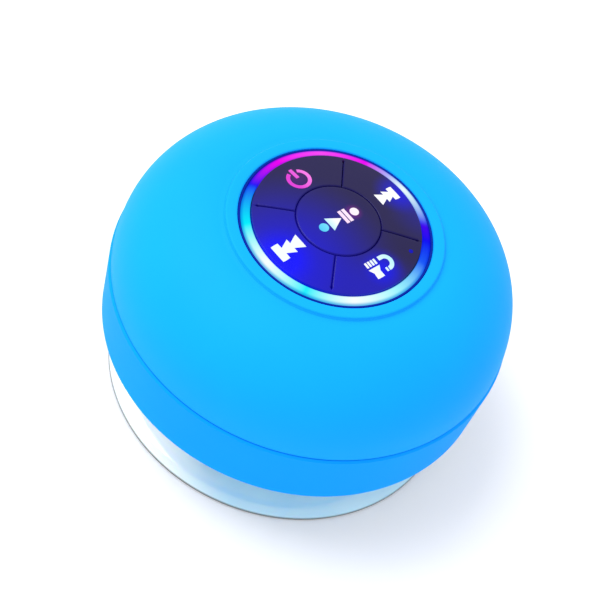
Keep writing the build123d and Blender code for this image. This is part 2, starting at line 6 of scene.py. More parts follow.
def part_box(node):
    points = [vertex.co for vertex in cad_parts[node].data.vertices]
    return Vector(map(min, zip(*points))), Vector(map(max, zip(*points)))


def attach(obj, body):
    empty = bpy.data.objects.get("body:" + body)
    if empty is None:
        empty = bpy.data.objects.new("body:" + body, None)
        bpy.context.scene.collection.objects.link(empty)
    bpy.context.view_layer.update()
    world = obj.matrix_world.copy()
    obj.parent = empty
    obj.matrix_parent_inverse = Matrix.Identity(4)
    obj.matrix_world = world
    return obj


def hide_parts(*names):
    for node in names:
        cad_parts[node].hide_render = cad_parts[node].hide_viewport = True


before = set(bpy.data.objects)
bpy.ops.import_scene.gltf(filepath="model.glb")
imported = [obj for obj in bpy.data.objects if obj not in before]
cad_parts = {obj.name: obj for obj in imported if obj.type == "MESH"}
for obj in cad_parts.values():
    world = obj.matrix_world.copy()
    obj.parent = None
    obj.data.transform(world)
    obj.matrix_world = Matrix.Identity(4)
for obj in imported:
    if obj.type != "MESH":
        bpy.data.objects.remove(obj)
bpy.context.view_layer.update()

# ---------------------------------------------------------------- dome cover
# One soft moulding of sky-blue silicone, 1.5 mm thick, pulled over the hard upper shell.
# A flat lip stands up round the control panel, and the skin ends in a rounded edge at the seam.

mm = 0.001
ROUND_STEPS = 288
FLATTEN_R, FLATTEN_Z, STEP_CROWDING = 1.175, 0.80, 1.15


def corner(r, z, radius, start, stop, steps=8):
    """Round corner in the (r, z) plane: centre plus radius times (cos, sin) over an even run of angles."""
    a = np.radians(np.linspace(start, stop, steps))
    return np.column_stack([r + radius * np.cos(a), z + radius * np.sin(a)])


def shoulder(r_top, z_top, r_side, z_side, steps=72):
    """Superellipse from side to top, for a from 0 to 90 degrees: r runs with cos(a) to the power FLATTEN_R,
    and z with sin(a) to the power FLATTEN_Z. The steps are closer together near the side."""
    a = np.radians(90 * np.linspace(0, 1, steps) ** STEP_CROWDING)
    r = r_top + (r_side - r_top) * np.cos(a).clip(0, 1) ** FLATTEN_R
    z = z_side + (z_top - z_side) * np.sin(a).clip(0, 1) ** FLATTEN_Z
    return np.column_stack([r, z])


def piece(name, points, faces, material, smooth=True):
    """Mesh object at the origin from an array of points in millimetres and a list of faces."""
    mesh = bpy.data.meshes.new(name)
    mesh.from_pydata((np.asarray(points) * mm).tolist(), [], faces)
    mesh.polygons.foreach_set("use_smooth", np.full(len(mesh.polygons), smooth))
    mesh.materials.append(material)
    thing = bpy.data.objects.new(name, mesh)
    bpy.context.scene.collection.objects.link(thing)
    return thing


def turned(name, outline, material, steps=ROUND_STEPS):
    """Anticlockwise (r, z) outline carried round +Z: x = r cos a, y = r sin a.
    Where both ends of the outline are at r = 0, they become poles."""
    outline = np.asarray(outline, float)
    poles = outline[0, 0] == 0 and outline[-1, 0] == 0
    rows = outline[1:-1] if poles else outline
    a = np.linspace(0, 2 * np.pi, steps, endpoint=False)[:, None]
    r, z = rows[:, 0], rows[:, 1]
    points = np.stack([r * np.cos(a), r * np.sin(a), z + 0 * a], axis=-1).reshape(-1, 3)
    here = np.arange(steps * len(rows)).reshape(steps, len(rows))
    ahead = np.roll(here, -1, axis=0)
    quads = np.stack([here, ahead, np.roll(ahead, -1, axis=1), np.roll(here, -1, axis=1)], axis=-1)
    if not poles:
        return piece(name, points, quads.reshape(-1, 4).tolist(), material)
    low, high = len(points), len(points) + 1
    points = np.vstack([points, [0, 0, outline[0, 1]], [0, 0, outline[-1, 1]]])
    faces = quads[:, :-1].reshape(-1, 4).tolist()
    faces += [[low, b, c] for b, c in zip(ahead[:, 0].tolist(), here[:, 0].tolist())]
    faces += [[b, c, high] for b, c in zip(here[:, -1].tolist(), ahead[:, -1].tolist())]
    return piece(name, points, faces, material)


def moulded(name, tone, deeper, roughness, grain, depth, clouds=25.0, **sockets):
    """Moulded finish: two close tones in soft clouds, and a fine grain in both the roughness and the bump.
    grain and depth are the grain's size and height in millimetres, clouds the patches' size."""
    material = bpy.data.materials.new(name)
    material.use_nodes = True
    nodes, links = material.node_tree.nodes, material.node_tree.links
    skin = nodes["Principled BSDF"]
    place = nodes.new("ShaderNodeTexCoord")
    drift = nodes.new("ShaderNodeTexNoise")
    drift.inputs["Scale"].default_value = 1 / (clouds * mm)
    drift.inputs["Detail"].default_value = 3
    tones = nodes.new("ShaderNodeMix")
    tones.data_type = "RGBA"
    tones.inputs["A"].default_value = (*tone, 1)
    tones.inputs["B"].default_value = (*deeper, 1)
    fine = nodes.new("ShaderNodeTexNoise")
    fine.inputs["Scale"].default_value = 1 / (grain * mm)
    fine.inputs["Detail"].default_value = 2
    rub = nodes.new("ShaderNodeMapRange")
    rub.inputs["To Min"].default_value = roughness - 0.06
    rub.inputs["To Max"].default_value = roughness + 0.06
    bump = nodes.new("ShaderNodeBump")
    bump.inputs["Distance"].default_value = depth * mm
    links.new(place.outputs["Object"], drift.inputs["Vector"])
    links.new(place.outputs["Object"], fine.inputs["Vector"])
    links.new(drift.outputs["Fac"], tones.inputs["Factor"])
    links.new(tones.outputs["Result"], skin.inputs["Base Color"])
    links.new(fine.outputs["Fac"], rub.inputs["Value"])
    links.new(rub.outputs["Result"], skin.inputs["Roughness"])
    links.new(fine.outputs["Fac"], bump.inputs["Height"])
    links.new(bump.outputs["Normal"], skin.inputs["Normal"])
    for socket, value in sockets.items():
        skin.inputs[socket.replace("_", " ")].default_value = value
    return material


silicone = moulded(
    "silicone", (0.004, 0.370, 1.0), (0.003, 0.330, 0.98), 0.56, 0.3, 0.004,
    Specular_IOR_Level=0.055, Sheen_Weight=0.11, Sheen_Roughness=0.5, Sheen_Tint=(0.05, 0.45, 1.0, 1),
)

cover_low, cover_high = (corner_point / mm for corner_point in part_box("silicone_dome_cover"))
LIP_IN, LIP_OUT, LIP_ROUND = 20.55, 23.15, 0.45
SKIN, DOME_TOP_R, DOME_TOP_Z = 1.5, 23.75, 51.9
SEAM_OVERLAP, EDGE_ROUND, LIP_FOOT_ROUND = 0.14, 0.3, 0.3
LIP_FOOT_R, INNER_TOP_R = LIP_OUT + 0.45, DOME_TOP_R - 0.7
side_r, edge_z, lip_z = cover_high.x, cover_low.z - SEAM_OVERLAP, cover_high.z

dome_outline = np.vstack([
    corner(side_r - EDGE_ROUND, edge_z + EDGE_ROUND, EDGE_ROUND, -90, 0)[:-1],
    shoulder(DOME_TOP_R, DOME_TOP_Z, side_r, edge_z + EDGE_ROUND)[:-3],
    corner(LIP_FOOT_R, DOME_TOP_Z + LIP_FOOT_ROUND, LIP_FOOT_ROUND, 270, 180, 5)[1:],
    corner(LIP_OUT - LIP_ROUND, lip_z - LIP_ROUND, LIP_ROUND, 0, 90),
    corner(LIP_IN + LIP_ROUND, lip_z - LIP_ROUND, LIP_ROUND, 90, 180),
    [[LIP_IN, DOME_TOP_Z - SKIN]],
    shoulder(INNER_TOP_R, DOME_TOP_Z - SKIN, side_r - SKIN, edge_z, 36)[::-1],
])
dome_cover = turned("dome_cover", dome_outline, silicone)
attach(dome_cover, "housing")
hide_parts("silicone_dome_cover")

# ---------------------------------------------------------------- skirt and port flap
# The skirt is a separate silicone band round the lower shell, a little proud of the dome.
# At the back it has a recess for the charging port's flap, which is the same silicone.

band_silicone = moulded(
    "band_silicone", (0.003, 0.335, 1.0), (0.002, 0.300, 0.98), 0.58, 0.3, 0.004,
    Specular_IOR_Level=0.03, Sheen_Weight=0.05, Sheen_Roughness=0.5, Sheen_Tint=(0.05, 0.40, 1.0, 1),
)
for node in ("silicone_skirt", "port_flap"):
    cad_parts[node].data.materials.clear()
    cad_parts[node].data.materials.append(band_silicone)

# ---------------------------------------------------------------- light ring
# Milky acrylic light guide round the keys, with a face that slopes down and out.
# LEDs below feed it, and it shows twelve even stretches of colour that run into each other.

PEARL, WHITE, ICE = (0.86, 0.97, 1.0), (0.95, 1.0, 1.0), (0.35, 0.93, 1.0)
MAGENTA, PINK, VIOLET = (0.85, 0.0, 0.88), (0.97, 0.07, 0.92), (0.06, 0.0, 0.86)
BLUE, CYAN = (0.01, 0.10, 0.93), (0.0, 0.88, 0.98)
RING_RUN = [PEARL, MAGENTA, PINK, MAGENTA, BLUE, CYAN, WHITE, CYAN, WHITE, ICE, BLUE, VIOLET]
RING_MIDDLE, RING_BRIGHT, RING_FAINT = 18.9, 0.35, 1.15
RING_EDGE_TINT = (0.12, 0.50, 0.85)


def from_the_axis(nodes, links, place):
    """Distance from the Z axis: the length of (x, y, 0)."""
    flat = nodes.new("ShaderNodeVectorMath")
    flat.operation = "MULTIPLY"
    flat.inputs[1].default_value = (1, 1, 0)
    radius = nodes.new("ShaderNodeVectorMath")
    radius.operation = "LENGTH"
    links.new(place.outputs["Object"], flat.inputs[0])
    links.new(flat.outputs["Vector"], radius.inputs[0])
    return radius.outputs["Value"]


def round_the_panel(nodes, links, place):
    """Colour by angle about +Z: atan2(y, x) over a full turn, from one tone of the run to the next by hue.
    Away from the ring's middle radius, where the guide's leg brings the light up, it fades to a blue."""
    axes = nodes.new("ShaderNodeSeparateXYZ")
    angle = nodes.new("ShaderNodeMath")
    angle.operation = "ARCTAN2"
    turn = nodes.new("ShaderNodeMath")
    turn.operation = "DIVIDE"
    turn.inputs[1].default_value = 2 * np.pi
    wrap = nodes.new("ShaderNodeMath")
    wrap.operation = "FRACT"
    ramp = nodes.new("ShaderNodeValToRGB")
    ramp.color_ramp.color_mode = "HSV"
    first, last = ramp.color_ramp.elements
    first.color = last.color = (*RING_RUN[0], 1)
    for number, tone in enumerate(RING_RUN[1:], 1):
        ramp.color_ramp.elements.new(number / len(RING_RUN)).color = (*tone, 1)
    off = nodes.new("ShaderNodeMath")
    off.operation = "SUBTRACT"
    off.inputs[1].default_value = RING_MIDDLE * mm
    away = nodes.new("ShaderNodeMath")
    away.operation = "ABSOLUTE"
    fade = nodes.new("ShaderNodeMapRange")
    fade.interpolation_type = "SMOOTHSTEP"
    fade.inputs["From Min"].default_value = RING_BRIGHT * mm
    fade.inputs["From Max"].default_value = RING_FAINT * mm
    lit = nodes.new("ShaderNodeMix")
    lit.data_type, lit.blend_type = "RGBA", "MULTIPLY"
    lit.inputs["B"].default_value = (*RING_EDGE_TINT, 1)
    links.new(place.outputs["Object"], axes.inputs["Vector"])
    links.new(axes.outputs["Y"], angle.inputs[0])
    links.new(axes.outputs["X"], angle.inputs[1])
    links.new(angle.outputs["Value"], turn.inputs[0])
    links.new(turn.outputs["Value"], wrap.inputs[0])
    links.new(wrap.outputs["Value"], ramp.inputs["Fac"])
    links.new(from_the_axis(nodes, links, place), off.inputs[0])
    links.new(off.outputs["Value"], away.inputs[0])
    links.new(away.outputs["Value"], fade.inputs["Value"])
    links.new(ramp.outputs["Color"], lit.inputs["A"])
    links.new(fade.outputs["Result"], lit.inputs["Factor"])
    return lit.outputs["Result"]


def lit_guide():
    """Lit acrylic: the ring's colours as emission, with no colour of its own."""
    material = moulded(
        "light_guide", (0.001, 0.001, 0.002), (0.002, 0.002, 0.003), 0.35, 0.6, 0.002,
        Specular_IOR_Level=0.0, Emission_Strength=1.0,
    )
    nodes, links = material.node_tree.nodes, material.node_tree.links
    skin = nodes["Principled BSDF"]
    place = nodes.new("ShaderNodeTexCoord")
    links.new(round_the_panel(nodes, links, place), skin.inputs["Emission Color"])
    return material


ring_low, ring_high = (corner_point / mm for corner_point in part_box("light_ring"))
RING_IN, RING_OUT, RING_OUT_Z = 18.1, 19.95, 52.72
RING_OUT_ROUND, RING_IN_ROUND = 0.3, 0.25
LEG_IN, LEG_TOP = 18.95, 52.3
ring_outline = np.vstack([
    [[LEG_IN, ring_low.z], [RING_OUT, ring_low.z]],
    corner(RING_OUT - RING_OUT_ROUND, RING_OUT_Z - RING_OUT_ROUND, RING_OUT_ROUND, 0, 75),
    corner(RING_IN + RING_IN_ROUND, ring_high.z - RING_IN_ROUND, RING_IN_ROUND, 75, 180),
    [[RING_IN, LEG_TOP], [LEG_IN, LEG_TOP]],
])
light_ring = turned("light_ring_lit", ring_outline, lit_guide())
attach(light_ring, "housing")
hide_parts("light_ring")

# ---------------------------------------------------------------- bezel
# Thin glossy navy ring pressed in between the light ring and the silicone lip.

navy = moulded("navy_gloss", (0.001, 0.020, 0.30), (0.001, 0.015, 0.26), 0.3, 0.5, 0.001,
               Specular_IOR_Level=0.04)
BEZEL_IN, BEZEL_OUT, BEZEL_ROUND = 20.0, 20.5, 0.2
bezel_low, bezel_high = (corner_point / mm for corner_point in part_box("bezel_ring"))
bezel_outline = np.vstack([
    [[BEZEL_IN, bezel_low.z], [BEZEL_OUT, bezel_low.z]],
    corner(BEZEL_OUT - BEZEL_ROUND, bezel_high.z - BEZEL_ROUND, BEZEL_ROUND, 0, 90),
    corner(BEZEL_IN + BEZEL_ROUND, bezel_high.z - BEZEL_ROUND, BEZEL_ROUND, 90, 180),
])
bezel = turned("bezel", bezel_outline, navy)
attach(bezel, "housing")
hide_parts("bezel_ring")

# ---------------------------------------------------------------- keys
# Five smoked gloss keys with one shallow crown across them: a round play key and four sector keys.
# Their edges are eased along the grooves, and each groove ends in a small round relief near the rim.

CROWN_Z, EDGE_DROP, PANEL_R = 54.87, 1.3, 17.9
BALL_R = (PANEL_R**2 + EDGE_DROP**2) / (2 * EDGE_DROP)
PLAY_R, HALF_GAP = 9.0, 0.03
GROOVE_EASE, RIM_EASE = 0.38, 0.05
RELIEF_R, RELIEF_W, RELIEF_REACH = 16.9, 0.12, 0.32
GROOVE_END, GROOVE_FADE = RELIEF_R + 0.35, 0.4
KEY_LOW_Z = 52.3


def crown(r):
    """Height of the panel's crown at radius r: a ball's cap through the middle and the rim."""
    return CROWN_Z - BALL_R + np.sqrt(BALL_R**2 - r**2)


def slab(name, x, y, z_top, z_low, material):
    """Closed slab over a grid of (x, y): z_top above, z_low below, and a wall round the grid's four edges.
    Rows run along +x or outwards, and columns along +y or anticlockwise."""
    n, m = x.shape
    top = np.stack([x, y, z_top], axis=-1).reshape(-1, 3)
    low = np.stack([x, y, z_low + 0 * x], axis=-1).reshape(-1, 3)
    index = np.arange(n * m).reshape(n, m)
    cells = np.stack([index[:-1, :-1], index[1:, :-1], index[1:, 1:], index[:-1, 1:]], axis=-1)
    cells = cells.reshape(-1, 4)
    edge = np.concatenate([index[:-1, 0], index[-1, :-1], index[:0:-1, -1], index[0, :0:-1]])
    after = np.roll(edge, -1)
    wall = np.stack([edge, edge + n * m, after + n * m, after], axis=-1)
    faces = np.vstack([cells, cells[:, ::-1] + n * m, wall])
    return piece(name, np.vstack([top, low]), faces.tolist(), material)


def shade_groove(cap, values):
    """Store how deep in a groove each point of a key lies, from 0 on the open face to 1 in the gap; the key
    material paints shade by it.
    """
    depth = cap.data.attributes.new("groove", "FLOAT", "POINT")
    depth.data.foreach_set("value", np.asarray(values, np.float32).ravel())


def eased(steps=6):
    """Rounded edge as shares of its ease, for a quarter turn from wall to top.
    It goes 1 - cos a in and 1 - sin a down."""
    a = np.radians(np.linspace(0, 90, steps))
    return 1 - np.cos(a), 1 - np.sin(a)


def edged(count):
    """One way across a key: the place from 0 to 1, the share of the ease and the share of the drop."""
    inward, down = eased()
    open_face = np.linspace(0, 1, count)[1:-1]
    place = np.concatenate([0 * inward, open_face, 0 * inward + 1])
    ease = np.concatenate([inward, 0 * open_face + 1, inward[::-1]])
    drop = np.concatenate([down, 0 * open_face, down[::-1]])
    return place, ease, drop


def sector_key(name, middle, material):
    """Sector between two spokes: r runs from the play key to the rim, and the angle runs between the spokes'
    grooves. A groove is a gap plus a small bump at the relief, and its ease fades out past the relief."""
    v, ease_v, drop_v = (line[:, None] for line in edged(49))
    u, ease_u, drop_u = (line[None, :] for line in edged(65))
    at_play = v < 0.5
    v_ease = np.where(at_play, GROOVE_EASE, RIM_EASE)
    r_in = PLAY_R + HALF_GAP + ease_v * GROOVE_EASE
    r = r_in + (PANEL_R - ease_v * RIM_EASE - r_in) * v + 0 * u
    fade = np.clip((GROOVE_END - r) / GROOVE_FADE, 0, 1)
    u_ease = RIM_EASE + (GROOVE_EASE - RIM_EASE) * fade * fade * (3 - 2 * fade)
    relief = RELIEF_W * np.exp(-(((r - RELIEF_R) / RELIEF_REACH) ** 2))
    half = np.pi / 4 - np.arcsin((HALF_GAP + relief + ease_u * u_ease) / r)
    a = np.radians(middle) + (2 * u - 1) * half
    z = crown(r) - np.maximum(drop_u * u_ease, drop_v * v_ease)
    cap = slab(name, r * np.cos(a), r * np.sin(a), z, KEY_LOW_Z, material)
    # The square root widens the painted groove shade towards the open face.
    depth = np.sqrt(np.maximum((1 - ease_u) * fade, (1 - ease_v) * at_play))
    shade_groove(cap, np.concatenate([depth.ravel(), depth.ravel()]))
    return cap


# Light that leaks up through the smoked plastic: x, y, reach, colour
LEAKS = [
    (-17.5, -3.5, 27.0, (0.0, 0.0, 0.62)),
    (-16.5, -0.8, 8.5, (0.0, 0.0, 0.55)),
    (-3.0, -19.0, 12.0, (0.0, 0.0, 0.28)),
    (0.5, -14.0, 5.5, (0.0, 0.002, 0.55)),
    (16.8, -0.5, 6.5, (0.0, 0.002, 0.60)),
    (4.0, 0.0, 2.4, (0.16, 0.0, 0.10)),
    (0.0, 13.2, 3.6, (0.05, 0.0, 0.05)),
    (18.0, -7.0, 9.0, (0.0, 0.0, 0.16)),
]


def smoked(name):
    """Smoked gloss plastic with painted shade in its grooves. Each leak's colour fades to nothing at its
    reach.
    """
    material = moulded(
        name, (0.017, 0.013, 0.062), (0.014, 0.011, 0.054), 0.24, 0.5, 0.0012, clouds=8.0,
        Specular_IOR_Level=0.12, Emission_Strength=1.0,
    )
    nodes, links = material.node_tree.nodes, material.node_tree.links
    skin = nodes["Principled BSDF"]
    place = nodes.new("ShaderNodeTexCoord")
    total = None
    for x, y, reach, colour in LEAKS:
        span = nodes.new("ShaderNodeVectorMath")
        span.operation = "DISTANCE"
        span.inputs[1].default_value = (x * mm, y * mm, CROWN_Z * mm)
        fall = nodes.new("ShaderNodeMapRange")
        fall.interpolation_type = "SMOOTHSTEP"
        fall.inputs["From Max"].default_value = reach * mm
        fall.inputs["To Min"].default_value = 1
        fall.inputs["To Max"].default_value = 0
        tint = nodes.new("ShaderNodeVectorMath")
        tint.operation = "MULTIPLY_ADD"
        tint.inputs[0].default_value = colour
        links.new(place.outputs["Object"], span.inputs[0])
        links.new(span.outputs["Value"], fall.inputs["Value"])
        links.new(fall.outputs["Result"], tint.inputs[1])
        if total is not None:
            links.new(total, tint.inputs[2])
        total = tint.outputs["Vector"]
    # Painted glow: where the leaks glow blue, the base colour is also pushed towards pure blue.
    leak_blue = nodes.new("ShaderNodeSeparateXYZ")
    glow_tint = nodes.new("ShaderNodeMix")
    glow_tint.data_type = "RGBA"
    glow_tint.inputs["B"].default_value = (0.0005, 0.0005, 0.06, 1)
    # Painted shade: towards each groove's gap, the base colour darkens to deep navy and the glow dims.
    groove = nodes.new("ShaderNodeAttribute")
    groove.attribute_name = "groove"
    dim = nodes.new("ShaderNodeMapRange")
    dim.inputs["To Min"].default_value = 1
    dim.inputs["To Max"].default_value = 0.35
    shaded = nodes.new("ShaderNodeVectorMath")
    shaded.operation = "SCALE"
    painted_groove_shade = nodes.new("ShaderNodeMix")
    painted_groove_shade.data_type = "RGBA"
    painted_groove_shade.inputs["B"].default_value = (0.005, 0.002, 0.075, 1)
    links.new(groove.outputs["Fac"], dim.inputs["Value"])
    links.new(total, shaded.inputs[0])
    links.new(dim.outputs["Result"], shaded.inputs["Scale"])
    links.new(shaded.outputs["Vector"], skin.inputs["Emission Color"])
    links.new(groove.outputs["Fac"], painted_groove_shade.inputs["Factor"])
    links.new(total, leak_blue.inputs["Vector"])
    links.new(leak_blue.outputs["Z"], glow_tint.inputs["Factor"])
    links.new(skin.inputs["Base Color"].links[0].from_socket, glow_tint.inputs["A"])
    links.new(glow_tint.outputs["Result"], painted_groove_shade.inputs["A"])
    links.new(painted_groove_shade.outputs["Result"], skin.inputs["Base Color"])
    return material


smoked_key = smoked("smoked_gloss")
SECTORS = {"next": 0, "power": 90, "previous": 180, "phone": 270}
for name, middle in SECTORS.items():
    cap = sector_key(name + "_key_cap", middle, smoked_key)
    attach(cap, name + "_button")
    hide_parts(name + "_key")

inward, down = eased()
play_edge = PLAY_R - HALF_GAP
eased_r, face_r = play_edge - inward * GROOVE_EASE, np.linspace(play_edge - GROOVE_EASE, 0, 24)[1:]
play_low = [[0, KEY_LOW_Z], [play_edge / 2, KEY_LOW_Z], [play_edge, KEY_LOW_Z]]
play_outline = np.vstack([
    play_low,
    np.column_stack([eased_r, crown(eased_r) - down * GROOVE_EASE]),
    np.column_stack([face_r, crown(face_r)]),
])
play_cap = turned("play_key_cap", play_outline, smoked_key)
# Painted groove shade on the play key's eased edge, as on the sector keys.
play_depth = np.concatenate([[1, 1], np.sqrt(1 - inward), 0 * face_r[:-1]])
shade_groove(play_cap, np.concatenate([np.tile(play_depth, ROUND_STEPS), [1, 0]]))
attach(play_cap, "play_button")
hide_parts("play_key")

# ---------------------------------------------------------------- key icons
# Clear windows in the smoked keys, lit from below. Each is a thin tile set into its key's crown.

TILE_PROUD, TILE_STEP, TILE_DEEP = 0.008, 0.004, 0.25


def lit_window(name, left, right, middle, reach):
    """Lit window whose colour runs from left to right across the icon."""
    material = moulded(
        name, (0.03, 0.03, 0.04), (0.02, 0.02, 0.03), 0.3, 0.4, 0.001,
        Specular_IOR_Level=0.1, Emission_Strength=1.0,
    )
    nodes, links = material.node_tree.nodes, material.node_tree.links
    place = nodes.new("ShaderNodeTexCoord")
    axes = nodes.new("ShaderNodeSeparateXYZ")
    share = nodes.new("ShaderNodeMapRange")
    share.inputs["From Min"].default_value = (middle - reach) * mm
    share.inputs["From Max"].default_value = (middle + reach) * mm
    run = nodes.new("ShaderNodeMix")
    run.data_type = "RGBA"
    run.inputs["A"].default_value = (*left, 1)
    run.inputs["B"].default_value = (*right, 1)
    links.new(place.outputs["Object"], axes.inputs["Vector"])
    links.new(axes.outputs["X"], share.inputs["Value"])
    links.new(share.outputs["Result"], run.inputs["Factor"])
    links.new(run.outputs["Result"], nodes["Principled BSDF"].inputs["Emission Color"])
    return material


def tile(name, outline, level, material, body):
    """Thin closed tile over a grid of (x, y), following the crown from just above it to below it.
    Tiles that overlap stand at different levels."""
    x, y = outline
    z = crown(np.hypot(x, y))
    made = slab(name, x, y, z + TILE_PROUD + level * TILE_STEP, z - TILE_DEEP, material)
    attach(made, body)
    return made


def softened(steps, ease):
    """Square from -1 to 1, eased towards the disc x = u sqrt(1 - v^2/2), y = v sqrt(1 - u^2/2)."""
    u, v = np.meshgrid(np.linspace(-1, 1, steps), np.linspace(-1, 1, steps), indexing="ij")
    return u * (1 - ease + ease * np.sqrt(1 - v * v / 2)), v * (1 - ease + ease * np.sqrt(1 - u * u / 2))


def dot(x, y, radius):
    """Disc about (x, y)."""
    u, v = softened(17, 1.0)
    return x + u * radius, y + v * radius


def stroke(start, end, half_start, half_end, ease=0.1):
    """Straight stroke from start to end, with a half width that runs evenly from one value to the other."""
    u, v = softened(11, ease)
    share = (u + 1) / 2
    along = np.subtract(end, start)
    across = np.array([-along[1], along[0]]) / np.hypot(*along)
    half = v * (half_start + (half_end - half_start) * share)
    return start[0] + along[0] * share + across[0] * half, start[1] + along[1] * share + across[1] * half


def hoop(x, y, inner, outer, start, stop):
    """Part of a ring about (x, y), from one angle to another in degrees."""
    angles = np.radians(np.linspace(start, stop, 61))
    r, a = np.meshgrid(np.linspace(inner, outer, 5), angles, indexing="ij")
    return x + r * np.cos(a), y + r * np.sin(a)


# Power: a broken ring with a bar in the gap
POWER_Y, POWER_HALF = 12.7, 0.42
power_window = lit_window("window_magenta", (0.76, 0.01, 0.66), (1.0, 0.20, 0.82), 0.9, 2.2)
tile("power_ring", hoop(0, POWER_Y, 1.85, 2.68, -246, 62), 0, power_window, "power_button")
power_bar = stroke((0, POWER_Y + 0.3), (0, POWER_Y + 3.0), POWER_HALF, POWER_HALF)
tile("power_bar", power_bar, 1, power_window, "power_button")

# Previous: a bar and two wedges that point away from the middle
white_window = lit_window("window_white", (0.90, 1.0, 1.0), (1.0, 1.0, 1.0), 0, 16)
previous_parts = {
    "bar": stroke((-16.5, 0), (-14.7, 0), 2.1, 2.1),
    "wedge_out": stroke((-15.1, 0), (-12.55, 0), 0.55, 1.8, 0.03),
    "wedge_in": stroke((-12.9, 0), (-10.3, 0), 0.5, 1.8, 0.03),
}
for level, (part, outline) in enumerate(previous_parts.items()):
    tile("previous_" + part, outline, level, white_window, "previous_button")

# Next: two wedges and a bar, a size smaller
next_parts = {
    "wedge_in": stroke((11.2, 0), (13.5, 0), 1.55, 0.45, 0.03),
    "wedge_out": stroke((13.15, 0), (15.2, 0), 1.55, 0.5, 0.03),
    "bar": stroke((14.8, 0), (16.25, 0), 1.65, 1.65),
}
for level, (part, outline) in enumerate(next_parts.items()):
    tile("next_" + part, outline, level, white_window, "next_button")

# Play: dot, wedge, two bars and dot in a row
cyan_window = lit_window("window_cyan", (0.05, 0.58, 0.90), (0.14, 0.72, 0.95), -4.1, 1.0)
wedge_window = lit_window("window_ice", (0.55, 0.88, 1.0), (1.0, 1.0, 1.0), -1.6, 0.9)
pink_window = lit_window("window_pink", (1.0, 0.72, 0.95), (1.0, 0.90, 0.98), 2.6, 1.8)
tile("play_dot_left", dot(-4.1, 0, 1.05), 0, cyan_window, "play_button")
tile("play_wedge", stroke((-2.65, 0), (0.55, 0), 1.75, 0.05, 0.0), 0, wedge_window, "play_button")
for number, x in enumerate((1.3, 2.34), 1):
    tile(f"play_bar_{number}", stroke((x, -1.7), (x, 1.7), 0.4, 0.4, 0.02), 0, pink_window, "play_button")
tile("play_dot_right", dot(4.25, 0, 1.0), 0, pink_window, "play_button")

# Phone: four short bars over a horn, and a hooked handset beside them
PHONE_X, PHONE_Y = 0.5, -13.25
phone_window = lit_window("window_phone", (1.0, 1.0, 1.0), (0.50, 0.90, 1.0), 0.6, 2.8)


def phone_tile(name, outline, level=0):
    """Tile of the phone icon, placed from the icon's own middle."""
    x, y = outline
    return tile("phone_" + name, (x + PHONE_X, y + PHONE_Y), level, phone_window, "phone_button")


for number in range(4):
    x = -2.88 + 0.75 * number
    phone_tile(f"bar_{number + 1}", stroke((x, 0.85), (x, 2.15), 0.26, 0.26))
phone_tile("horn_mouth", stroke((-1.75, 0.42), (-1.75, -0.7), 1.5, 0.85, 0.04))
phone_tile("horn_stem", stroke((-1.75, -0.55), (-1.75, -2.15), 0.82, 0.92, 0.04), 1)
phone_tile("handset", hoop(1.25, 0.25, 0.95, 1.9, -96, 90))
phone_tile("handset_arm", stroke((0.35, 1.675), (1.3, 1.675), 0.475, 0.475, 0.04), 1)
phone_tile("handset_foot", stroke((0.35, -1.175), (0.82, -1.175), 0.475, 0.475, 0.04))

# Microphone port: a dark pinhole bush in the phone key
MIC_R, MIC_ANGLE, MIC_BUSH_R = 16.0, np.radians(303), 0.48
deep_blue = moulded(
    "microphone_bush", (0.001, 0.001, 0.30), (0.001, 0.001, 0.38), 0.6, 0.2, 0.001, Specular_IOR_Level=0.1,
)
microphone_bush = dot(MIC_R * np.cos(MIC_ANGLE), MIC_R * np.sin(MIC_ANGLE), MIC_BUSH_R)
tile("microphone_port", microphone_bush, 0, deep_blue, "phone_button")

# ---------------------------------------------------------------- suction cup
# One glossy moulding of milky soft vinyl: a hub with a mushroom stud that snaps into the base,
# and a wide flange that thins towards its flat rim.

# Painted light: the cup whitens towards the side at this angle. This stands for light falling on that side,
# and it turns with the cup.
PAINTED_LIGHT_ANGLE = np.radians(140)
PAINTED_LIGHT_FROM, PAINTED_LIGHT_FULL = 8, 29
# Painted contact shadow: below this height and beyond this radius, the rim is coloured near black.
CONTACT_SHADOW_Z, CONTACT_SHADOW_R, CONTACT_SHADOW_BLEND = 0.7, 37.5, 0.2


